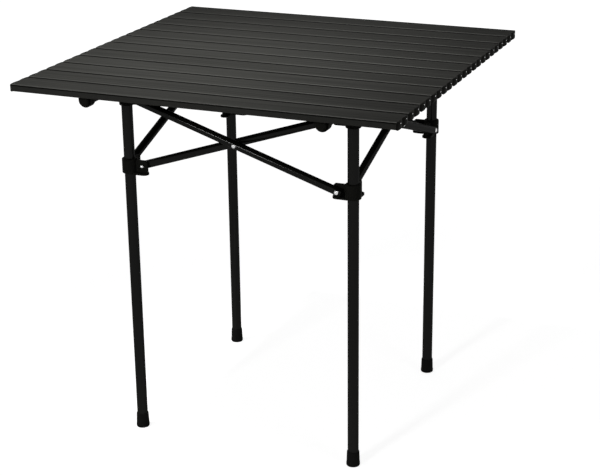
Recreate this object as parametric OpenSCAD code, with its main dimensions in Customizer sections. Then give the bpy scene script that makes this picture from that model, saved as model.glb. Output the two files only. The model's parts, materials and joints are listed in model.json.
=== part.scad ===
// Roll top camp table: twelve cord-linked slats on two rails, over a four-leg scissor frame.
// X runs along the slats, Y from front to back, Z up; the origin is on the floor under the centre.

/* [Table top] */
// Width of the top over the end caps
top_w = 700; // [560:5:860]
// Height of the top surface above the floor
table_h = 700; // [620:5:800]
// How far the top sits forward of the frame's centre
top_forward = 30; // [0:1:60]
// Number of slats
slat_count = 12; // [11:1:12]
// Width of one slat, front to back
slat_w = 57.5; // [52:0.5:62]
// Thickness of a slat
slat_t = 12; // [10:0.5:16]
// Wall of the hollow slat
slat_wall = 0.8; // [0.6:0.1:1.5]
// Number of chambers in a slat
slat_chambers = 3; // [3:2:5]
// Gap between neighbouring slats
slat_gap = 0.8; // [0.5:0.1:1.5]
// Rounding of a slat's upper edges
slat_top_r = 1.6; // [0.5:0.1:3]
// Rounding of a slat's lower edges
slat_low_r = 1; // [0.5:0.1:2]

/* [Slat end caps] */
// Thickness of a cap outside the slat
cap_t = 3; // [2:0.5:6]
// Length of the cap's plugs inside the slat
cap_plug = 12; // [6:1:25]
// How far a cap reaches below the slat
cap_drop = 2; // [0:0.5:4]
// Rounding of a cap's lower corners
cap_low_r = 5.5; // [2:0.5:6]
// Bevel of a cap's outer corners at the gaps between slats
cap_bevel = 2; // [0.5:0.5:2.5]
// Depth of the groove down the middle of a cap's face
cap_groove = 2; // [0.5:0.5:2]
// Radius of the groove in a cap
cap_groove_r = 4; // [2.5:0.5:8]

/* [Cords] */
// Diameter of the elastic cord
cord_d = 4.5; // [3:0.5:5]
// Distance from a cord to the top's side edge
cord_inset = 50; // [24:1:120]
// Hole for the cord in the slat walls
cord_hole_d = 5.5; // [5.2:0.1:7]
// Diameter of the knot at a cord's end
knot_d = 8.5; // [8:0.1:9]

/* [Rails] */
// Outer diameter of a rail
rail_d = 19; // [16:0.5:24]
// Wall of a rail
rail_wall = 1; // [0.8:0.1:2]
// Distance from the top's front or back edge to a rail's end
rail_inset = 16; // [4:0.5:18]
// Thickness of a rail's end plug outside the tube
plug_t = 3; // [2:0.5:6]
// Length of the plug inside the tube
plug_in = 14; // [8:1:25]
// Hole in the underside of a rail for the locating peg
rail_hole_d = 9; // [8:0.5:10]
// Wall of a rail clip
clip_wall = 3; // [2:0.5:4]
// Length of a rail clip along the rail
clip_len = 13; // [8:0.5:14]
// How far a clip's lugs stand into the end slats
clip_lug = 3; // [2:0.5:5]

/* [Legs] */
// Distance between leg axes, front to back and side to side
leg_span = 430; // [380:5:500]
// Outer diameter of a leg
leg_d = 20; // [16:0.5:25]
// Wall of a leg
leg_wall = 1; // [0.8:0.1:2]
// Height of a foot
foot_h = 29; // [20:1:45]
// Diameter of a foot at its widest
foot_d = 25; // [24:0.5:34]
// Diameter of a foot's upper rim
foot_rim_d = 22.8; // [22.5:0.1:30]
// Thickness of the foot under the leg
foot_floor = 4; // [3:0.5:10]

/* [Hubs and sliders] */
// How far the upper pivots lie below the top surface
hub_drop = 52; // [46:1:120]
// How far a hub's sleeve reaches below its pivots
hub_below = 12.5; // [12:0.5:30]
// Wall of a hub's sleeve
hub_wall = 3.4; // [2.5:0.1:6]
// Thickness of the hub over the leg's end
hub_cap = 4; // [3:0.5:6]
// Length of the claws along the rail
claw_len = 22; // [14:1:30]
// Wall of a claw
claw_wall = 3.6; // [2.5:0.1:5]
// Height of the claw tips above the rail's axis
claw_h = 6.5; // [4:0.5:8]
// Outward lean of the claw arms, degrees
claw_lean = 12; // [10:1:20]
// Diameter of the locating peg at its foot
peg_d = 6; // [5:0.5:7]
// Diameter of the locating peg at its tip
peg_tip_d = 4; // [3:0.5:5]
// Height of the peg inside the rail
peg_h = 6; // [4:0.5:8]
// Height of a slider's sleeve
slider_h = 27; // [22:1:40]
// Wall of a slider's sleeve
slider_wall = 3.7; // [2.5:0.1:6]
// Bevel at the ends of the hub and slider sleeves
sleeve_bevel = 1; // [0.5:0.1:2]
// Distance from the leg's axis to an ear's pivot
pivot_off = 25; // [24:0.5:34]
// Reach of an ear past its pivot, outwards and to the side without the flange
ear_past = 11; // [8:0.5:12]
// Rounding of an ear's free corner
ear_corner_r = 5; // [2:0.5:7]
// Reach of an ear from its pivot to the outside of its flange
ear_reach = 15; // [12:0.5:18]
// Width of the flange along an ear
flange_w = 18; // [8:0.5:20]
// Thickness of the flange along an ear
flange_t = 3.5; // [2:0.5:5]
// How far a flange stands past its ear
flange_lip = 1.5; // [0.5:0.5:2.5]
// Thickness of an ear
ear_t = 5; // [4:0.5:8]

/* [Braces] */
// How far the slider pivots lie below the upper pivots
slider_drop = 125; // [80:1:200]
// Outer diameter of a brace
brace_d = 15; // [12:0.5:18]
// Wall of a brace
brace_wall = 1.2; // [1:0.1:2.5]
// Bevel round the closed ends of a brace
brace_bevel = 2.5; // [1:0.5:4]
// How far a brace's bore runs past its end pivots
bore_past = 3; // [2.8:0.1:3.4]
// Diameter of a rivet's shank
rivet_d = 5; // [4:0.5:6]
// Diameter of a rivet's head
rivet_head_d = 8; // [7:0.5:11]
// Diameter of a rivet's upset tail
rivet_tail_d = 7; // [6:0.5:10]
// Height of a rivet's head
rivet_head_h = 2; // [1:0.25:3]
// Depth of the flat under a rivet's head
rivet_flat = 0.6; // [0.3:0.1:0.9]

/* [Fits] */
// Radial play of a rivet in its holes
rivet_play = 0.05; // [0.05:0.05:0.3]
// Play between pieces that turn or slide on each other
run_play = 0.3; // [0.2:0.05:0.6]
// Play between a plug or sleeve and the tube that it fits
fit_play = 0.1; // [0.05:0.05:0.3]
// Play of a clip's lug in its slot
slot_play = 0.6; // [0.4:0.1:1.2]

/* [Hidden] */
$fn = 64;
e = 0.5;
corner_names = ["front_left", "front_right", "back_right", "back_left"];
side_names = ["front", "right", "back", "left"];
brace_sides = ["outer", "inner"];
slat_ids = [for (i = [1:slat_count]) str(i < 10 ? "0" : "", i)];

slat_pitch = slat_w + slat_gap;
slat_len = top_w - 2 * cap_t;
top_depth = slat_count * slat_pitch - slat_gap;
slat_z = table_h - slat_t;
chamber_h = slat_t - 2 * slat_wall;
chamber_w = (slat_w - (slat_chambers + 1) * slat_wall) / slat_chambers;
chamber_pitch = chamber_w + slat_wall;
cord_span = top_w - 2 * cord_inset;
cord_z = slat_z + slat_t / 2;
knot_back = sqrt(pow(knot_d, 2) - pow(cord_hole_d, 2)) / 2 + fit_play;

half_span = leg_span / 2;
rail_r = rail_d / 2;
rail_z = slat_z - run_play - rail_r;
rail_len = top_depth - 2 * (rail_inset + plug_t);
seat_r = rail_r + run_play;
claw_r = seat_r + claw_wall;
hub_top = rail_z - seat_r;
leg_top = hub_top - hub_cap;
hub_pivot_z = table_h - hub_drop;
hub_d = leg_d + 2 * (fit_play + hub_wall);
slider_d = leg_d + 2 * (run_play + slider_wall);

brace_r = brace_d / 2;
brace_off = ear_t / 2 + run_play + brace_r;
pivot_span = leg_span - 2 * pivot_off;
brace_len = sqrt(pow(pivot_span, 2) + pow(slider_drop, 2));
brace_lean = atan2(slider_drop, pivot_span);
slider_pivot_z = hub_pivot_z - slider_drop;
seat_y = brace_r - rivet_flat;

clip_in = rail_r + fit_play;
clip_out = clip_in + clip_wall;

paint = "#1d1d1f";
plastic = "#151516";
rubber = "#1a1a1a";
metal = "#c4c6c8";

function slat_y(i) = (i - (slat_count - 1) / 2) * slat_pitch;
function chamber_y(c) = (c - (slat_chambers - 1) / 2) * chamber_pitch;

// Flat outline with rounded corners, standing on its lower edge and centred across
module rounded(w, h, top_r, low_r) {
    polygon([
        [-w / 2, low_r], [-w / 2 + low_r, 0], [w / 2 - low_r, 0], [w / 2, low_r],
        [w / 2, h - top_r], [w / 2 - top_r, h], [-w / 2 + top_r, h], [-w / 2, h - top_r]
    ]);
    for (s = [-1, 1]) {
        translate([s * (w / 2 - low_r), low_r]) circle(r = low_r);
        translate([s * (w / 2 - top_r), h - top_r]) circle(r = top_r);
    }
}

// Extrudes an outline in Y and Z along X, centred on X = 0
module along_x(len) {
    rotate([90, 0, 90]) linear_extrude(len, center = true) children();
}

// Extrudes an outline in X and Z along Y, centred on Y = 0
module along_y(len) {
    rotate([90, 0, 0]) linear_extrude(len, center = true) children();
}

// Round bar along Y between two stations
module bar_y(d, y0, y1) {
    translate([0, y0, 0]) rotate([-90, 0, 0]) cylinder(d = d, h = y1 - y0);
}

// Places a corner piece; the local X axis then points to the next corner and Y to the one before
module at_corner(k) {
    translate([0, top_forward, 0]) rotate([0, 0, 90 * k]) translate([-half_span, -half_span, 0]) children();
}

module slat(i) {
    end_slat = i == 0 || i == slat_count - 1;
    out = i == 0 ? -1 : i == slat_count - 1 ? 1 : 0;
    color(paint) translate([0, slat_y(i), slat_z])
    difference() {
        along_x(slat_len) rounded(slat_w, slat_t, slat_top_r, slat_low_r);
        for (c = [0:slat_chambers - 1]) translate([0, chamber_y(c), slat_wall])
            along_x(slat_len + 2 * e) translate([-chamber_w / 2, 0]) square([chamber_w, chamber_h]);
        for (x = [-1, 1] * cord_span / 2) translate([x, 0, slat_t / 2])
            bar_y(cord_hole_d,
                out < 0 ? chamber_y(0) : -slat_w / 2 - e,
                out > 0 ? chamber_y(slat_chambers - 1) : slat_w / 2 + e);
        if (end_slat) clip_slots();
    }
}

// Slots in the underside of an end slat for the lugs of the rail clips
module clip_slots() {
    for (x = [-1, 1] * half_span, s = [-1, 1])
        translate([x + s * (clip_in + clip_out) / 2, 0, slat_wall / 2])
            cube([clip_wall + 2 * slot_play, clip_len + 2 * slot_play, slat_wall + 2 * e], center = true);
}

// Outline of a cap from above, cut back at its outer corners
module cap_plan() {
    face = slat_w / 2 - cap_bevel;
    root = face + cap_t + e;
    polygon([[-e, -root], [cap_t, -face], [cap_t, face], [-e, root]]);
}

module slat_caps(i) {
    cap_h = slat_t + cap_drop;
    color(plastic) for (s = [-1, 1]) translate([s * slat_len / 2, slat_y(i), slat_z])
        mirror([s < 0 ? 1 : 0, 0, 0]) {
            difference() {
                intersection() {
                    translate([(cap_t + e) / 2, 0, -cap_drop])
                        along_x(cap_t + e) rounded(slat_w, cap_h, slat_top_r, cap_low_r);
                    translate([0, 0, -cap_drop - e]) linear_extrude(cap_h + 2 * e) cap_plan();
                }
                translate([cap_t - cap_groove + cap_groove_r, 0, -cap_drop - e])
                    cylinder(r = cap_groove_r, h = cap_h + 2 * e);
            }
            for (c = [0:slat_chambers - 1])
                translate([(e - cap_plug) / 2, chamber_y(c), slat_wall + fit_play])
                    along_x(cap_plug + e) translate([-chamber_w / 2 + fit_play, 0])
                        square([chamber_w - 2 * fit_play, chamber_h - 2 * fit_play]);
        }
}

// Two elastic cords through all the slats, knotted inside the outer chambers of the end slats
module shock_cords() {
    knot_y = slat_y(slat_count - 1) + chamber_y(slat_chambers - 1) - chamber_w / 2 + knot_back;
    color(rubber) for (x = [-1, 1] * cord_span / 2) translate([x, 0, cord_z]) {
        bar_y(cord_d, -knot_y, knot_y);
        for (s = [-1, 1]) translate([0, s * knot_y, 0]) sphere(d = knot_d);
    }
}

module rails() {
    color(paint) for (x = [-1, 1] * half_span) translate([x, 0, rail_z])
        difference() {
            bar_y(rail_d, -rail_len / 2, rail_len / 2);
            bar_y(rail_d - 2 * rail_wall, -rail_len / 2 - e, rail_len / 2 + e);
            for (y = [-1, 1] * half_span) translate([0, y + top_forward, -rail_d])
                cylinder(d = rail_hole_d, h = rail_d);
        }
}

module rail_plugs() {
    rim = plug_t / 2;
    color(plastic) for (x = [-1, 1] * half_span, s = [0, 1])
        translate([x, 0, rail_z]) mirror([0, s, 0]) translate([0, -rail_len / 2, 0]) rotate([90, 0, 0]) {
            cylinder(d = rail_d, h = plug_t - rim);
            translate([0, 0, plug_t - rim]) cylinder(d1 = rail_d, d2 = rail_d - 2 * rim, h = rim);
            translate([0, 0, -plug_in]) cylinder(d = rail_d - 2 * (rail_wall + fit_play), h = plug_in + e);
        }
}

// Saddles under the rails with lugs that stand in the slots of the end slats
module rail_clips() {
    color(plastic) for (x = [-1, 1] * half_span, y = [slat_y(0), slat_y(slat_count - 1)])
        translate([x, y, rail_z]) along_y(clip_len) difference() {
            union() {
                circle(r = clip_out);
                translate([-clip_out, 0]) square([2 * clip_out, slat_z + slat_wall + clip_lug - rail_z]);
            }
            circle(r = clip_in);
            translate([-clip_in, 0]) square([2 * clip_in, table_h - rail_z]);
        }
}

module leg(k) {
    color(paint) at_corner(k) translate([0, 0, foot_floor]) difference() {
        cylinder(d = leg_d, h = leg_top - foot_floor);
        translate([0, 0, -e]) cylinder(d = leg_d - 2 * leg_wall, h = leg_top - foot_floor + 2 * e);
    }
}

module foot(k) {
    toe = foot_floor / 2;
    color(rubber) at_corner(k) difference() {
        union() {
            cylinder(d1 = foot_d - toe, d2 = foot_d, h = toe);
            translate([0, 0, toe]) cylinder(d1 = foot_d, d2 = foot_rim_d, h = foot_h - toe);
        }
        translate([0, 0, foot_floor]) cylinder(d = leg_d + 2 * fit_play, h = foot_h);
    }
}

// Two ears towards both neighbouring corners, with the flange on the side away from the braces
module ears(z, up) {
    ear_end = pivot_off + ear_past;
    ear_low = flange_t / 2 - ear_reach;
    flange_end = ear_end + flange_lip - flange_w / 2;
    for (a = [0, 90]) rotate([0, 0, a]) translate([0, 0, z]) mirror([0, 0, up ? 1 : 0]) {
        along_y(ear_t) {
            translate([0, ear_low]) square([ear_end, ear_past - ear_corner_r - ear_low]);
            translate([0, ear_low]) square([ear_end - ear_corner_r, ear_past - ear_low]);
            translate([ear_end - ear_corner_r, ear_past - ear_corner_r]) circle(r = ear_corner_r);
        }
        translate([0, 0, -ear_reach]) linear_extrude(flange_t) {
            translate([0, -flange_w / 2]) square([flange_end, flange_w]);
            translate([flange_end, 0]) circle(d = flange_w);
        }
    }
}

// Round sleeve between two heights, with bevelled ends
module sleeve(d, z0, z1) {
    translate([0, 0, z0]) cylinder(d1 = d - 2 * sleeve_bevel, d2 = d, h = sleeve_bevel);
    translate([0, 0, z0 + sleeve_bevel]) cylinder(d = d, h = z1 - z0 - 2 * sleeve_bevel);
    translate([0, 0, z1 - sleeve_bevel]) cylinder(d1 = d, d2 = d - 2 * sleeve_bevel, h = sleeve_bevel);
}

module ear_holes(z) {
    for (a = [0, 90]) rotate([0, 0, a]) translate([pivot_off, 0, z])
        bar_y(rivet_d + 2 * rivet_play, -ear_t, ear_t);
}

// Outline of the claw pair round the rail's axis, with arms that lean outwards to bevelled tips
module claw_outline() {
    tip_h = claw_h + claw_wall / 2;
    lean = tan(claw_lean);
    difference() {
        union() {
            intersection() {
                circle(r = claw_r);
                translate([-claw_r, -claw_r]) square([2 * claw_r, claw_r]);
            }
            polygon([
                [-claw_r, 0], [claw_r, 0], [claw_r + lean * claw_h, claw_h], [seat_r + lean * tip_h, tip_h],
                [-seat_r - lean * tip_h, tip_h], [-claw_r - lean * claw_h, claw_h]
            ]);
        }
        circle(r = seat_r);
        polygon([
            [-seat_r, 0], [seat_r, 0],
            [seat_r + 2 * lean * tip_h, 2 * tip_h], [-seat_r - 2 * lean * tip_h, 2 * tip_h]
        ]);
    }
}

module top_hub(k) {
    hub_low = hub_pivot_z - hub_below;
    rail_turn = 90 * (k % 2);
    color(plastic) at_corner(k) {
        difference() {
            union() {
                sleeve(hub_d, hub_low, hub_top - run_play);
                ears(hub_pivot_z, true);
                rotate([0, 0, rail_turn]) translate([0, 0, rail_z]) along_y(claw_len) claw_outline();
            }
            translate([0, 0, hub_low - ear_past])
                cylinder(d = leg_d + 2 * fit_play, h = leg_top - hub_low + ear_past);
            ear_holes(hub_pivot_z);
        }
        translate([0, 0, hub_top - hub_cap / 2])
            cylinder(d1 = peg_d, d2 = peg_tip_d, h = hub_cap / 2 + run_play + peg_h);
    }
}

module slider(k) {
    color(plastic) at_corner(k) difference() {
        union() {
            sleeve(slider_d, slider_pivot_z - slider_h / 2, slider_pivot_z + slider_h / 2);
            ears(slider_pivot_z, false);
        }
        translate([0, 0, slider_pivot_z - slider_h])
            cylinder(d = leg_d + 2 * run_play, h = 2 * slider_h);
        ear_holes(slider_pivot_z);
    }
}

// Moves to the middle of a side's scissor, with X along the side and Y into the frame
module at_side(k) {
    translate([0, top_forward, (hub_pivot_z + slider_pivot_z) / 2]) rotate([0, 0, 90 * k])
        translate([0, -half_span, 0]) children();
}

module brace(k, inner) {
    s = inner ? 1 : -1;
    color(paint) at_side(k) translate([0, s * brace_off, 0]) rotate([0, -s * brace_lean, 0])
    difference() {
        brace_bar();
        rotate([0, 90, 0]) cylinder(r = brace_r - brace_wall, h = brace_len + 2 * bore_past, center = true);
        for (x = [-1, 0, 1] * brace_len / 2) translate([x, 0, 0]) {
            bar_y(rivet_d + 2 * rivet_play, -brace_d, brace_d);
            translate([0, s * (seat_y + brace_d / 2), 0])
                bar_y(rivet_head_d + 2 * run_play, -brace_d / 2, brace_d / 2);
        }
        translate([0, -s * (seat_y + brace_d / 2), 0])
            bar_y(rivet_head_d + 2 * run_play, -brace_d / 2, brace_d / 2);
    }
}

// Bar along X with bevelled ends, as long as a brace between its pivots
module brace_bar() {
    end_r = brace_r - brace_bevel;
    straight = brace_len / 2 + end_r;
    tip = straight + brace_bevel;
    rotate([0, 90, 0]) rotate_extrude() polygon([
        [0, -tip], [end_r, -tip], [brace_r, -straight], [brace_r, straight], [end_r, tip], [0, tip]
    ]);
}

// Domed head on the plane Y = 0, rising along +Y
module rivet_head(d, h) {
    ball_r = (pow(d / 2, 2) + pow(h, 2)) / (2 * h);
    intersection() {
        translate([0, h - ball_r, 0]) sphere(r = ball_r);
        bar_y(d, 0, h);
    }
}

// Rivet along Y with its head on the side s, seated at s * head_y, and its tail seated at -s * tail_y
module rivet(s, head_y, tail_y) {
    mirror([0, s < 0 ? 1 : 0, 0]) {
        translate([0, head_y, 0]) rivet_head(rivet_head_d, rivet_head_h);
        bar_y(rivet_d, -tail_y - e, head_y + e);
        translate([0, -tail_y, 0]) mirror([0, 1, 0]) rivet_head(rivet_tail_d, rivet_head_h);
    }
}

// End rivets of one brace, and the shouldered crossing rivet with the outer brace
module rivets(k, inner) {
    s = inner ? 1 : -1;
    head_y = brace_off + seat_y;
    gap_y = brace_off - seat_y;
    color(metal) at_side(k) {
        for (x = [-1, 1]) translate([x * pivot_span / 2, 0, x * s * slider_drop / 2])
            rivet(s, head_y, ear_t / 2 + run_play / 2);
        if (!inner) {
            rivet(s, head_y, head_y + run_play / 2);
            bar_y(rivet_head_d, -gap_y, gap_y - run_play / 2);
        }
    }
}

for (i = [0:slat_count - 1]) {
    slat(i);
    slat_caps(i);
}
shock_cords();
rails();
rail_plugs();
rail_clips();
for (k = [0:3]) {
    leg(k);
    foot(k);
    top_hub(k);
    slider(k);
    for (b = [0, 1]) {
        brace(k, b == 1);
        rivets(k, b == 1);
    }
}
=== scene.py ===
import json
import math

import bmesh
import bpy
from mathutils import Matrix, Vector


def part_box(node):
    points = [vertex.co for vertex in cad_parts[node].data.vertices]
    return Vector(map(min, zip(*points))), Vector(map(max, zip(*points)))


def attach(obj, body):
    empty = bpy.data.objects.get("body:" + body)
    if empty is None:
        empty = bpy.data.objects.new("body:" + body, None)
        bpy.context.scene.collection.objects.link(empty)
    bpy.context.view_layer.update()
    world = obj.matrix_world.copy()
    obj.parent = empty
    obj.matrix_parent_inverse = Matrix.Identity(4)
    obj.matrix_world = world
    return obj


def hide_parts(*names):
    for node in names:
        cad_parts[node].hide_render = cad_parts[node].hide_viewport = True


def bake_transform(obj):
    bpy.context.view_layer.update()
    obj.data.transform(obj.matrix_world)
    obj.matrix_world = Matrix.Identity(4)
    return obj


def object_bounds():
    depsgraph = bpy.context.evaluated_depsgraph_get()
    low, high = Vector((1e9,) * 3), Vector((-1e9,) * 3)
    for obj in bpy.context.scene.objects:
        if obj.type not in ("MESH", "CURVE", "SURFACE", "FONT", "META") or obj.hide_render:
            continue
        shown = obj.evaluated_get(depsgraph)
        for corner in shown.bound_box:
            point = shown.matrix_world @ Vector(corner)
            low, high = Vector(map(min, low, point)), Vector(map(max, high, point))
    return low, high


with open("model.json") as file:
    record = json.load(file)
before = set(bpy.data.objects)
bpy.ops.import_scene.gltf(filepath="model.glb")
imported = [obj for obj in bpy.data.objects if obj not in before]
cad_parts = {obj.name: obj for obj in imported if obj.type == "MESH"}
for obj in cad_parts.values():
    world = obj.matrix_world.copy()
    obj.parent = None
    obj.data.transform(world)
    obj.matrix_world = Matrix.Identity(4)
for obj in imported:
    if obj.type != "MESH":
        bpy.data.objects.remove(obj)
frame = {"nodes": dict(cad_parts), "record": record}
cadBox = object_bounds()
nodes = frame["nodes"]
corners = {"front_left": (-1, -1), "front_right": (1, -1), "back_right": (1, 1), "back_left": (-1, 1)}
slatIds = ["%02d" % number for number in range(1, 13)]
slatBodies = ["rolling_slat_" + number for number in slatIds[:-1]] + ["top_base"]
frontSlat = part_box("slat_01")
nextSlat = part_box("slat_02")
slatPitch = round(nextSlat[0].y - frontSlat[0].y, 6)  # metres, to a micrometre
slatWidth = round(frontSlat[1].y - frontSlat[0].y, 6)
topHeight = round(frontSlat[1].z, 6)
weld = 1e-6  # points closer than this are one


class Value:  # a socket that adds Math nodes when it stands in a sum
    def __init__(self, finish, socket):
        self.finish = finish
        self.socket = socket

    def work(self, operation, first, second):
        return self.finish.add("ShaderNodeMath", {"operation": operation}, {0: first, 1: second})

    def __add__(self, other):
        return self.work("ADD", self, other)

    def __radd__(self, other):
        return self.work("ADD", other, self)

    def __sub__(self, other):
        return self.work("SUBTRACT", self, other)

    def __rsub__(self, other):
        return self.work("SUBTRACT", other, self)

    def __mul__(self, other):
        return self.work("MULTIPLY", self, other)

    def __rmul__(self, other):
        return self.work("MULTIPLY", other, self)

    def __truediv__(self, other):
        return self.work("DIVIDE", self, other)

    def __rtruediv__(self, other):
        return self.work("DIVIDE", other, self)


class Finish:  # the nodes of one material or world, and the shader that they feed
    def __init__(self, owner, shaderName, constants):
        owner.use_nodes = True
        self.owner = owner
        self.tree = owner.node_tree
        self.shader = self.tree.nodes[shaderName]
        self.wire(constants)

    def add(self, kind, settings, sockets, output=0):
        node = self.tree.nodes.new(kind)
        for key, value in settings.items():
            setattr(node, key, value)
        for key, value in sockets.items():
            self.plug(node.inputs[key], value)
        return Value(self, node.outputs[output])

    def plug(self, socket, value):
        if isinstance(value, Value):
            self.tree.links.new(value.socket, socket)
        else:
            socket.default_value = value

    def wire(self, sockets):
        for key, value in sockets.items():
            self.plug(self.shader.inputs[key], value)

    def place(self, scale=(1, 1, 1)):  # object coordinates, stretched for a pattern
        spot = self.add("ShaderNodeTexCoord", {}, {}, "Object")
        return self.add("ShaderNodeMapping", {}, {"Vector": spot, "Scale": scale})

    def axis(self, name):  # one coordinate in metres
        return self.add("ShaderNodeSeparateXYZ", {}, {"Vector": self.place()}, name)

    def noise(self, scale, detail, stretch=(1, 1, 1)):
        sockets = {"Vector": self.place(stretch), "Scale": scale, "Detail": detail}
        return self.add("ShaderNodeTexNoise", {}, sockets)

    def ramp(self, value, low, high):  # 0 below low, 1 above high
        return self.add("ShaderNodeMapRange", {}, {"Value": value, "From Min": low, "From Max": high})

    def sway(self, pattern, amount):  # a pattern's ups and downs about its mean
        return (pattern - 0.5) * amount

    def blend(self, mask, first, second):
        return self.add("ShaderNodeMix", {"data_type": "RGBA"}, {"Factor": mask, 6: first, 7: second}, 2)

    def tones(self, mask, look):  # between a finish's dark and light greys
        return self.blend(mask, grey(look["dark"], look["warmth"]), grey(look["light"], look["warmth"]))

    def bump(self, height, distance, strength):
        sockets = {"Height": height, "Distance": distance, "Strength": strength}
        return self.add("ShaderNodeBump", {}, sockets, "Normal")

    def seen(self):  # 1 for what the camera sees, straight, in a reflection or through glass
        rays = ("Is Camera Ray", "Is Glossy Ray", "Is Transmission Ray")
        camera, glossy, through = (self.add("ShaderNodeLightPath", {}, {}, ray) for ray in rays)
        return camera + glossy + through


def grey(level, warmth=1.0):  # a warmth under 1 takes some blue out
    return (level, level, level * warmth, 1)


def newPaint(name, constants):
    return Finish(bpy.data.materials.new(name), "Principled BSDF", constants)


# patterns are scale, detail and stretch, ranges are from and to, bumps are distance and strength
# the slat's seam and flank greys are painted shade, and its edge grey is worn metal with a painted
# highlight
slatLook = {
    "dark": 0.024, "light": 0.063, "edge": 0.108, "seam": 0.0035, "flank": 0.038, "warmth": 0.92,
    "rough": 0.46, "specular": 0.001, "edgeMetal": 0.25,
    "hair": (1.0, 3.0, (5, 1100, 1100)),  # drawing lines of the extrusion
    "streak": (1.0, 4.0, (2.2, 210, 210)),  # broader bands that run the length of a slat
    "cloud": (4.0, 3.0), "speck": (1500.0, 1.0), "rub": (12.0, 3.0, (0.3, 1, 1)),
    "hairRange": (0.33, 0.67), "hairShare": 0.3, "streakRange": (0.35, 0.65), "streakShare": 0.45,
    "rubRange": (0.35, 0.65), "rubShare": 0.3, "highlightRightRange": (-0.1, 0.2), "highlightRightShare": 0.55,
    "cloudShare": 0.15, "toneShare": 0.15, "marginRange": (0.5, 0.85), "marginShare": 0.15,
    "edgeBand": 0.0036, "edgeFull": 0.6, "edgeDepth": (0.0002, 0.0006),
    "seamBand": 0.008, "seamFull": 0.75, "seamStart": (0.0003, 0.0008), "seamDepth": 0.003, "seamFade": 0.6,
    "flankStart": 0.3,
    "roughStreak": 0.16, "roughHair": 0.1, "roughEdge": 0.1, "bumpHair": 0.6, "bumpSpeck": 0.4,
    "bump": (0.00012, 0.35)}


def makeSlatFinish(look):
    f = newPaint("slat_finish", {"Specular IOR Level": look["specular"]})
    hair = f.noise(*look["hair"])
    streak = f.noise(*look["streak"])
    cloud = f.noise(*look["cloud"])
    speck = f.noise(*look["speck"])
    row = f.axis("Y") / slatPitch + len(slatIds) / 2
    step = f.add("ShaderNodeMath", {"operation": "FLOOR"}, {0: row})
    tone = f.add("ShaderNodeTexWhiteNoise", {"noise_dimensions": "1D"}, {"W": step})  # each slat its own
    across = (row - step - 0.5) * slatPitch  # from a slat's middle, to the back
    half = slatWidth / 2
    depth = topHeight - f.axis("Z")
    side = f.ramp(0 - across, half - look["edgeBand"], half - look["edgeBand"] * look["edgeFull"])
    edge = side * (1 - f.ramp(depth, *look["edgeDepth"]))  # front margin, lighter: worn bare metal, and a painted highlight of its rounded edge
    rubbed = f.ramp(f.noise(*look["rub"]), *look["rubRange"])
    highlightRight = f.ramp(f.axis("X"), *look["highlightRightRange"])  # painted highlight, most at the right
    wornAndHighlit = edge * (1 - look["rubShare"] + look["rubShare"] * rubbed)
    wornAndHighlit = wornAndHighlit * (1 - look["highlightRightShare"] + look["highlightRightShare"] * highlightRight)
    behind = f.ramp(across, half - look["seamBand"], half - look["seamBand"] * look["seamFull"])
    low = look["seamDepth"]
    below = f.ramp(depth, *look["seamStart"]) * (1 - f.ramp(depth, low * look["seamFade"], low))
    shade = 1 - (1 - behind) * (1 - below)  # painted shade in the seams: a dark back margin on each slat, and dark faces just under the top
    away = f.add("ShaderNodeMath", {"operation": "ABSOLUTE"}, {0: across})
    margin = f.ramp(away, *(half * share for share in look["marginRange"]))  # lighter to its sides, a painted highlight near the seams
    mask = cloud * look["cloudShare"] + tone * look["toneShare"] + margin * look["marginShare"]
    mask = mask + f.ramp(streak, *look["streakRange"]) * look["streakShare"]
    mask = mask + f.ramp(hair, *look["hairRange"]) * look["hairShare"]
    body = f.tones(mask, look)
    # painted shade: the faces below the top, such as the front face, take a darker grey than the top
    body = f.blend(f.ramp(depth, low * look["flankStart"], low), body, grey(look["flank"], look["warmth"]))
    # the painted seam shade goes over the slat's colour
    body = f.blend(shade, body, grey(look["seam"], look["warmth"]))
    rough = look["rough"] + f.sway(streak, look["roughStreak"]) + f.sway(hair, look["roughHair"])
    f.wire({"Base Color": f.blend(wornAndHighlit, body, grey(look["edge"], look["warmth"])),
            "Metallic": wornAndHighlit * look["edgeMetal"],
            "Roughness": rough - edge * look["roughEdge"],
            "Normal": f.bump(hair * look["bumpHair"] + speck * look["bumpSpeck"], *look["bump"])})
    return f.owner


tubeLook = {
    "dark": 0.0045, "light": 0.0085, "warmth": 0.8, "rough": 0.42, "specular": 0.001,
    "coat": 0.034, "coatRough": 0.1, "coatIor": 2.6,
    "peel": (650.0, 2.0), "cloud": (9.0, 3.0), "rub": (60.0, 4.0, (1, 1, 0.06)), "rubRange": (0.62, 0.8),
    "cloudShare": 0.6, "rubShare": 0.4, "roughCloud": 0.14, "roughRub": 0.08, "bump": (0.0001, 0.2)}


def makeTubePaint(look):
    f = newPaint("tube_paint", {"Specular IOR Level": look["specular"], "Coat Weight": look["coat"],
                                "Coat Roughness": look["coatRough"], "Coat IOR": look["coatIor"]})
    peel = f.noise(*look["peel"])  # orange peel of the powder coat
    cloud = f.noise(*look["cloud"])
    rub = f.ramp(f.noise(*look["rub"]), *look["rubRange"])  # faint lengthwise rubbing
    f.wire({"Base Color": f.tones(cloud * look["cloudShare"] + rub * look["rubShare"], look),
            "Roughness": look["rough"] + f.sway(cloud, look["roughCloud"]) - rub * look["roughRub"],
            "Normal": f.bump(peel, *look["bump"])})
    return f.owner


mouldLook = {
    "dark": 0.013, "light": 0.019, "warmth": 0.88, "rough": 0.5, "specular": 0.006,
    "spark": (1300.0, 3.0), "cloud": (22.0, 2.0), "cloudShare": 0.7, "sparkShare": 0.3, "roughSpark": 0.2,
    "bump": (0.0001, 0.5)}


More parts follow.
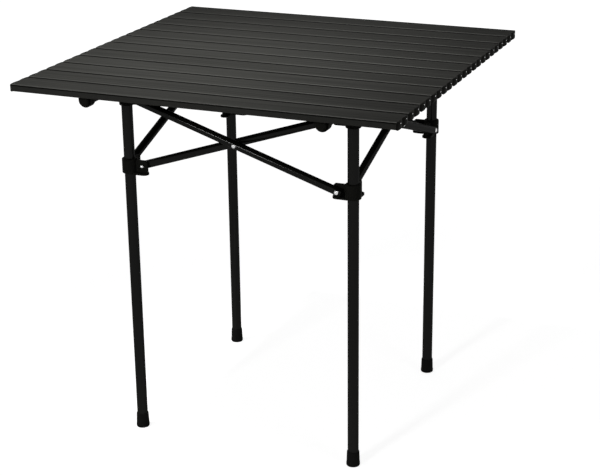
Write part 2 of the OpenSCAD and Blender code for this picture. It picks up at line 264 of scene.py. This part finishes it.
def makeMoulding(look):
    f = newPaint("moulding", {"Specular IOR Level": look["specular"]})
    spark = f.noise(*look["spark"])  # spark-eroded mould texture
    cloud = f.noise(*look["cloud"])
    f.wire({"Base Color": f.tones(cloud * look["cloudShare"] + spark * look["sparkShare"], look),
            "Roughness": look["rough"] + f.sway(spark, look["roughSpark"]),
            "Normal": f.bump(spark, *look["bump"])})
    return f.owner


rubberLook = {
    "dark": 0.009, "light": 0.015, "warmth": 0.95, "rough": 0.7, "specular": 0.02,
    "dust": 0.03, "dustWarmth": 0.85, "dustTop": 0.0035, "grit": (160.0, 4.0), "gritRange": (0.35, 0.7),
    "skin": (900.0, 3.0), "cloud": (45.0, 2.0), "roughSkin": 0.18, "roughDust": 0.15, "bump": (0.0001, 0.5)}


def makeFootRubber(look):
    f = newPaint("foot_rubber", {"Specular IOR Level": look["specular"]})
    skin = f.noise(*look["skin"])
    cloud = f.noise(*look["cloud"])
    grit = f.ramp(f.noise(*look["grit"]), *look["gritRange"])
    dust = (1 - f.ramp(f.axis("Z"), 0.0, look["dustTop"])) * grit  # only near the ground
    body = f.tones(cloud, look)
    f.wire({"Base Color": f.blend(dust, body, grey(look["dust"], look["dustWarmth"])),
            "Roughness": look["rough"] + f.sway(skin, look["roughSkin"]) + dust * look["roughDust"],
            "Normal": f.bump(skin, *look["bump"])})
    return f.owner


steelLook = {
    "dark": 0.45, "light": 0.72, "warmth": 1.0, "rough": 0.24, "metal": 1.0,
    "mark": (700.0, 3.0), "cloud": (180.0, 2.0), "roughCloud": 0.2, "roughMark": 0.1,
    "bump": (0.00005, 0.3)}


def makeRivetSteel(look):
    f = newPaint("rivet_steel", {"Metallic": look["metal"]})
    mark = f.noise(*look["mark"])
    cloud = f.noise(*look["cloud"])
    rough = look["rough"] + f.sway(cloud, look["roughCloud"])
    f.wire({"Base Color": f.tones(cloud, look),
            "Roughness": rough + f.sway(mark, look["roughMark"]),
            "Normal": f.bump(mark, *look["bump"])})
    return f.owner


coverLook = {
    "dark": 0.006, "light": 0.024, "warmth": 1.0, "rough": 0.75, "roughGap": 0.15,
    "specular": 0.2, "sheen": 0.3, "strands": 325.0, "leans": ((1, 1, 1), (-1, 1, 1)),
    "bump": (0.0003, 0.6)}


def makeCordCover(look):
    f = newPaint("cord_cover", {"Specular IOR Level": look["specular"], "Sheen Weight": look["sheen"]})
    diagonal = {"bands_direction": "DIAGONAL"}
    wave = "ShaderNodeTexWave"  # its output 1 is a plain number
    there, back = (f.add(wave, diagonal, {"Vector": f.place(lean), "Scale": look["strands"]}, 1)
                   for lean in look["leans"])
    braid = f.add("ShaderNodeMath", {"operation": "MAXIMUM"}, {0: there, 1: back})
    f.wire({"Base Color": f.tones(braid, look),
            "Roughness": look["rough"] + (1 - braid) * look["roughGap"],
            "Normal": f.bump(braid, *look["bump"])})
    return f.owner


finishes = {"slat_finish": makeSlatFinish(slatLook), "tube_paint": makeTubePaint(tubeLook),
            "moulding": makeMoulding(mouldLook), "foot_rubber": makeFootRubber(rubberLook),
            "rivet_steel": makeRivetSteel(steelLook), "cord_cover": makeCordCover(coverLook)}
for part in frame["record"]["subparts"]:
    mesh = nodes[part["node"]].data
    mesh.materials.clear()
    mesh.materials.append(finishes[part["material_slot"]])
print("finishes:", len(finishes), "on", len(nodes), "nodes")


def addPiece(name, bm, slotName, smoothAngle):  # turns a bmesh into a shown piece at the origin
    mesh = bpy.data.meshes.new(name)
    for face in bm.faces:
        face.smooth = True
    bm.to_mesh(mesh)
    bm.free()
    mesh.set_sharp_from_angle(angle=math.radians(smoothAngle))
    piece = bpy.data.objects.new(name, mesh)
    bpy.context.scene.collection.objects.link(piece)
    mesh.materials.append(finishes[slotName])
    return piece


def picked(out, kind):  # the verts, edges or faces that an operator made
    return [part for part in out["geom"] if isinstance(part, kind)]


def spinRound(bm, steps):  # a full turn of everything about Z, welded and facing outwards
    bmesh.ops.spin(bm, geom=bm.verts[:] + bm.edges[:], cent=(0, 0, 0), axis=(0, 0, 1), dvec=(0, 0, 0),
                   angle=math.tau, steps=steps, use_merge=True, use_duplicate=False)
    bmesh.ops.remove_doubles(bm, verts=bm.verts, dist=weld)
    bmesh.ops.recalc_face_normals(bm, faces=bm.faces)


def turnProfile(profile, steps):  # spins a radius and height outline about Z
    bm = bmesh.new()
    verts = [bm.verts.new((radius, 0, height)) for radius, height in profile]
    for pair in zip(verts, verts[1:]):
        bm.edges.new(pair)
    spinRound(bm, steps)
    return bm


def drawRing(radius, core, sides, steps):  # a torus about Z
    bm = bmesh.new()
    upright = Matrix.Translation((radius, 0, 0)) @ Matrix.Rotation(math.pi / 2, 4, "X")
    bmesh.ops.create_circle(bm, segments=sides, radius=core, cap_ends=False, matrix=upright)
    spinRound(bm, steps)
    return bm


def drawDome(radius, height, foot, rings, steps):  # a round head that stands on Z
    angles = [math.pi / 2 * ring / rings for ring in range(rings + 1)]
    arc = [(radius * math.sin(angle), height * math.cos(angle)) for angle in angles]
    return turnProfile(arc + [(radius, -foot), (0, -foot)], steps)


def joinInto(bm, part):  # adds one bmesh to another
    mesh = bpy.data.meshes.new("part")
    part.to_mesh(mesh)
    part.free()
    bm.from_mesh(mesh)
    bpy.data.meshes.remove(mesh)


capShape = {"root": 0.003, "thick": 0.0026, "topRound": 0.0018, "lowRound": 0.0055, "roundSteps": 6,
            "rim": 0.001, "rimSteps": 3, "bow": 0.0025, "strips": 12, "smooth": 35}
pinShape = {"radius": 0.0011, "dome": 0.0005, "up": 0.0098, "sink": 0.0006, "rings": 6, "steps": 16,
            "collar": 0.0019, "collarCore": 0.0004, "collarSides": 8, "smooth": 35}


def drawOutline(bm, x, spots, rounds, segments):  # a face across X, some of its corners rounded
    verts = [bm.verts.new((x, y, z)) for y, z in spots]
    bm.faces.new(verts)
    for corner, radius in rounds:
        bmesh.ops.bevel(bm, geom=[verts[corner]], offset=radius, offset_type="OFFSET", affect="VERTICES",
                        segments=segments, profile=0.5, material=-1)
    return max(bm.faces, key=lambda face: face.calc_area())


def cutPad(middle, rim, low, high, side, shape):  # half of a cap, from its groove to the slat's side
    bm = bmesh.new()
    base = high.x - shape["root"]
    spots = [(middle, low.z), (rim, low.z), (rim, high.z), (middle, high.z)]
    rounds = ((1, shape["lowRound"]), (2, shape["topRound"]))
    face = drawOutline(bm, side * base, spots, rounds, shape["roundSteps"])
    grown = bmesh.ops.extrude_face_region(bm, geom=[face], use_keep_orig=True)
    bmesh.ops.translate(bm, verts=picked(grown, bmesh.types.BMVert), vec=(side * shape["thick"], 0, 0))
    bmesh.ops.bevel(bm, geom=picked(grown, bmesh.types.BMEdge), offset=shape["rim"], offset_type="OFFSET",
                    affect="EDGES", segments=shape["rimSteps"], profile=0.5, material=-1)
    for strip in range(1, shape["strips"]):
        cut = middle + (rim - middle) * strip / shape["strips"]
        bmesh.ops.bisect_plane(bm, geom=bm.verts[:] + bm.edges[:] + bm.faces[:], dist=weld / 10,
                               plane_co=(0, cut, 0), plane_no=(0, 1, 0))
    centre = (middle + rim) / 2
    half = abs(rim - middle) / 2
    for vert in bm.verts:  # the end bows out between the groove and the seam
        share = (abs(vert.co.x) - base) / shape["thick"]
        vert.co.x -= side * shape["bow"] * share * ((vert.co.y - centre) / half) ** 2
    meeting = [face for face in bm.faces if all(abs(vert.co.y - middle) < weld for vert in face.verts)]
    bmesh.ops.delete(bm, geom=meeting, context="FACES_ONLY")  # open where the two halves meet
    return bm


def makeCaps(number, body, shape, pin):
    node = "slat_caps_" + number
    low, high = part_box(node)
    middle = (low.y + high.y) / 2
    caps = bmesh.new()
    pins = bmesh.new()
    for side in (-1, 1):
        outward = Matrix.Rotation(side * math.pi / 2, 4, "Y")
        for rim in (low.y, high.y):
            joinInto(caps, cutPad(middle, rim, low, high, side, shape))
            spot = (side * (high.x - pin["dome"]), (middle + rim) / 2, low.z + pin["up"])
            collar = drawRing(pin["collar"], pin["collarCore"], pin["collarSides"], pin["steps"])
            head = drawDome(pin["radius"], pin["dome"], pin["sink"], pin["rings"], pin["steps"])
            for target, part in ((caps, collar), (pins, head)):
                bmesh.ops.transform(part, verts=part.verts, matrix=Matrix.Translation(spot) @ outward)
                joinInto(target, part)
    bmesh.ops.remove_doubles(caps, verts=caps.verts, dist=weld)
    bmesh.ops.recalc_face_normals(caps, faces=caps.faces)
    piece = addPiece("end_caps_" + number, caps, "moulding", shape["smooth"])
    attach(piece, body)
    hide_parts(node)
    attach(addPiece("cap_pins_" + number, pins, "rivet_steel", pin["smooth"]), body)


for number, body in zip(slatIds, slatBodies):
    makeCaps(number, body, capShape, pinShape)
print("end caps:", len(slatIds), "pairs, with pins")

footShape = {
    "steps": 48, "smooth": 40, "treadCut": 0.00035, "treadInset": 0.0002,
    "treadLow": 0.0021, "treadHigh": 0.0063, "treadReach": 0.0122,
    "profile": (  # radius and height, from the middle of the sole round to the socket for the leg
        (0.0, 0.0012), (0.0045, 0.0012), (0.005, 0.0), (0.0068, 0.0), (0.0072, 0.001), (0.0086, 0.001),
        (0.009, 0.0), (0.0104, 0.0), (0.0118, 0.0007), (0.0125, 0.0021), (0.0125, 0.0042),
        (0.0125, 0.0063), (0.0121, 0.0073), (0.0118, 0.0160), (0.0114, 0.0272), (0.0111, 0.0284),
        (0.0105, 0.029), (0.0101, 0.0288), (0.0101, 0.004), (0.0, 0.004))}


def treadFaces(bm, shape):  # every second block of the two rows, staggered
    centres = {face: face.calc_center_median() for face in bm.faces}
    band = [face for face, centre in centres.items()
            if shape["treadLow"] < centre.z < shape["treadHigh"] and centre.xy.length > shape["treadReach"]]
    band.sort(key=lambda face: (centres[face].z, math.atan2(*centres[face].xy)))
    upperRow = len(band) // 2
    return [face for i, face in enumerate(band) if (i + (i >= upperRow)) % 2]


def makeFoot(corner, shape):
    node = "foot_" + corner
    low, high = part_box(node)
    bm = turnProfile(shape["profile"], shape["steps"])
    bmesh.ops.inset_individual(bm, faces=treadFaces(bm, shape), thickness=shape["treadInset"],
                               depth=-shape["treadCut"])
    bmesh.ops.translate(bm, verts=bm.verts, vec=((low.x + high.x) / 2, (low.y + high.y) / 2, 0))
    piece = addPiece("rubber_foot_" + corner, bm, "foot_rubber", shape["smooth"])
    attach(piece, corner + "_leg")
    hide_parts(node)


for corner in corners:
    makeFoot(corner, footShape)
print("feet:", len(corners))

fixingShape = {"radius": 0.0031, "height": 0.0014, "sink": 0.0004, "reach": 0.0135, "belowTop": 0.048,
               "rings": 6, "steps": 24, "smooth": 35}


def makeFixing(corner, outward, shape):  # dome of the rivet that holds a hub on its leg
    low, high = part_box("leg_" + corner)
    bm = drawDome(shape["radius"], shape["height"], shape["sink"], shape["rings"], shape["steps"])
    heading = Vector((outward[0], outward[1], 0)).normalized()
    centre = Vector(((low.x + high.x) / 2, (low.y + high.y) / 2, cadBox[1].z - shape["belowTop"]))
    turn = heading.to_track_quat("Z", "Y").to_matrix().to_4x4()
    place = Matrix.Translation(centre + heading * shape["reach"]) @ turn
    bmesh.ops.transform(bm, matrix=place, verts=bm.verts)
    piece = addPiece("hub_fixing_" + corner, bm, "tube_paint", shape["smooth"])
    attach(piece, corner + "_leg")


for corner, outward in corners.items():
    makeFixing(corner, outward, fixingShape)
print("hub fixings:", len(corners))

cordShape = {"radius": 0.00225, "sides": 16, "bend": 0.0013, "bendSteps": 8, "smooth": 60,
             "knotRing": 0.0024, "knotCore": 0.0018, "knotSides": 12, "knotSteps": 24,
             "knotTurns": (("X", 0.5), ("Y", -0.4))}


def drawCord(bm, x, z, stops, shape):  # round cord along Y through the given stops, closed at both ends
    upright = Matrix.Translation((x, stops[0], z)) @ Matrix.Rotation(math.pi / 2, 4, "X")
    ring = bmesh.ops.create_circle(bm, segments=shape["sides"], radius=shape["radius"], cap_ends=True,
                                   matrix=upright)
    face = ring["verts"][0].link_faces[0]
    for here, there in zip(stops, stops[1:]):
        grown = bmesh.ops.extrude_face_region(bm, geom=[face])
        bmesh.ops.translate(bm, verts=picked(grown, bmesh.types.BMVert), vec=(0, there - here, 0))
        if here != stops[0]:  # only the two ends stay closed
            bmesh.ops.delete(bm, geom=[face], context="FACES_ONLY")
        face = picked(grown, bmesh.types.BMFace)[0]


def drawKnot(bm, x, y, z, shape):  # two turns of cord drawn tight over each other
    for axis, lean in shape["knotTurns"]:
        part = drawRing(shape["knotRing"], shape["knotCore"], shape["knotSides"], shape["knotSteps"])
        place = Matrix.Translation((x, y, z)) @ Matrix.Rotation(math.pi / 2 + lean, 4, axis)
        bmesh.ops.transform(part, verts=part.verts, matrix=place)
        joinInto(bm, part)


def addCord(name, bm, shape):
    bmesh.ops.recalc_face_normals(bm, faces=bm.faces)
    piece = addPiece(name, bm, "cord_cover", shape["smooth"])
    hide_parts("shock_cords")
    return piece


def makeCords(shape):
    low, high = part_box("shock_cords")
    z = (low.z + high.z) / 2
    knotRadius = (high.z - low.z) / 2  # the knots are the thickest part of a cord
    across = (high.x - low.x) / 2 - knotRadius
    knotY = high.y - knotRadius
    slatY = [(i - (len(slatIds) - 1) / 2) * slatPitch for i in range(len(slatIds))]
    shares = [2 * step / shape["bendSteps"] - 1 for step in range(shape["bendSteps"] + 1)]
    for i, (here, there) in enumerate(zip(slatY, slatY[1:])):
        bend = [(here + there) / 2 + shape["bend"] * share for share in shares]  # close stops at the seam
        bm = bmesh.new()
        for x in (-across, across):
            drawCord(bm, x, z, [here] + bend + [there], shape)
        piece = addCord("cord_link_" + slatIds[i], bm, shape)
        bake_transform(piece)
    for i, y in ((0, -knotY), (len(slatIds) - 1, knotY)):
        bm = bmesh.new()
        for x in (-across, across):
            drawCord(bm, x, z, sorted((slatY[i], y)), shape)
            drawKnot(bm, x, y, z, shape)
        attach(addCord("cord_end_" + slatIds[i], bm, shape), slatBodies[i])


makeCords(cordShape)
print("cords:", len(slatIds) - 1, "links and 2 ends")

stageLook = {"floorSize": 30.0, "floorDrop": 0.0003,
             "floorGrey": 0.6, "floorRough": 0.9, "floorSpecular": 0.0, "floorGlow": 1.0,
             "glowNear": 0.88, "glowFar": 1.0, "glowRange": (0.8, 3.0), "worldLevel": 0.12}


def makeFloorWhite(look):
    f = newPaint("floor_white", {"Base Color": grey(look["floorGrey"]), "Roughness": look["floorRough"],
                                 "Specular IOR Level": look["floorSpecular"],
                                 "Emission Strength": look["floorGlow"]})
    reach = f.add("ShaderNodeVectorMath", {"operation": "LENGTH"}, {0: f.place()}, "Value")
    glow = f.blend(f.ramp(reach, *look["glowRange"]), grey(look["glowNear"]), grey(look["glowFar"]))
    f.wire({"Emission Color": f.blend(f.seen(), grey(0), glow)})
    clear = f.add("ShaderNodeBsdfTransparent", {}, {})
    under = f.add("ShaderNodeNewGeometry", {}, {}, "Backfacing")  # seen from below, the floor is open
    white = Value(f, f.shader.outputs[0])
    surface = f.add("ShaderNodeMixShader", {}, {0: under, 1: white, 2: clear})
    f.plug(f.tree.nodes["Material Output"].inputs["Surface"], surface)
    return f.owner


def makeStage(look):
    bm = bmesh.new()
    bmesh.ops.create_grid(bm, x_segments=1, y_segments=1, size=look["floorSize"] / 2,
                          matrix=Matrix.Translation((0, 0, -look["floorDrop"])))
    mesh = bpy.data.meshes.new("floor")
    bm.to_mesh(mesh)
    bm.free()
    mesh.materials.append(makeFloorWhite(look))
    floor = bpy.data.objects.new("floor", mesh)
    bpy.context.scene.collection.objects.link(floor)
    level = look["worldLevel"]  # white where it is seen, and dimmer as a light
    sky = Finish(bpy.data.worlds.new("studio"), "Background", {"Color": grey(1)})
    sky.wire({"Strength": sky.seen() * (1 - level) + level})
    bpy.context.scene.world = sky.owner


makeStage(stageLook)

lamps = {"key": {"kind": "SPOT", "place": (-1.0, -0.9, 3.9), "aim": (-0.1, -0.08, 0.7), "size": 0.25,
                 "power": 520, "angle": 17.5, "softness": 1.0},  # soft pool of light on the top
         "over": {"kind": "AREA", "place": (-0.8, -0.6, 3.8), "aim": (0, 0, 0.5), "size": 2.4, "power": 1},
         "front": {"kind": "AREA", "place": (-0.78, -3.9, 2.2), "aim": (0, 0, 0.4), "size": 0.4,
                   "power": 34},
         "side": {"kind": "AREA", "place": (3.3, -1.8, 2.6), "aim": (0, 0, 0.5), "size": 1.2, "power": 8},
         "back": {"kind": "AREA", "place": (-1.6, 3.0, 2.6), "aim": (0, 0, 0.5), "size": 3.2, "power": 4}}


def makeLamp(name, lamp):
    light = bpy.data.lights.new(name, lamp["kind"])
    light.energy = lamp["power"]
    if lamp["kind"] == "SPOT":
        light.spot_size = math.radians(lamp["angle"])
        light.spot_blend = lamp["softness"]
        light.shadow_soft_size = lamp["size"]
    else:
        light.size = lamp["size"]
    holder = bpy.data.objects.new(name, light)
    holder.location = lamp["place"]
    heading = Vector(lamp["aim"]) - Vector(lamp["place"])
    holder.rotation_euler = heading.to_track_quat("-Z", "Y").to_euler()
    bpy.context.scene.collection.objects.link(holder)


for name, lamp in lamps.items():
    makeLamp(name, lamp)

viewpoint = {"place": (1.0883, -2.5023, 1.3442), "azimuth": 22.77, "elevation": 20.08, "roll": -0.68,
             "focalPixels": 1533.2, "imageWidth": 600}


def makeCamera(view):
    azimuth, elevation, roll = (math.radians(view[key]) for key in ("azimuth", "elevation", "roll"))
    level = math.cos(elevation)
    back = Vector((math.sin(azimuth) * level, -math.cos(azimuth) * level, math.sin(elevation)))
    right = Vector((math.cos(azimuth), math.sin(azimuth), 0))
    up = back.cross(right)
    across = math.cos(roll) * right + math.sin(roll) * up
    over = math.cos(roll) * up - math.sin(roll) * right
    camera = bpy.data.cameras.new("camera")
    camera.sensor_fit = "HORIZONTAL"
    camera.lens = view["focalPixels"] / view["imageWidth"] * camera.sensor_width
    holder = bpy.data.objects.new("camera", camera)
    turn = Matrix((across, over, back)).transposed().to_4x4()
    holder.matrix_world = Matrix.Translation(view["place"]) @ turn
    bpy.context.scene.collection.objects.link(holder)
    bpy.context.scene.camera = holder


makeCamera(viewpoint)
bpy.context.scene.view_settings.view_transform = "Standard"
print("stage, lamps and camera set")
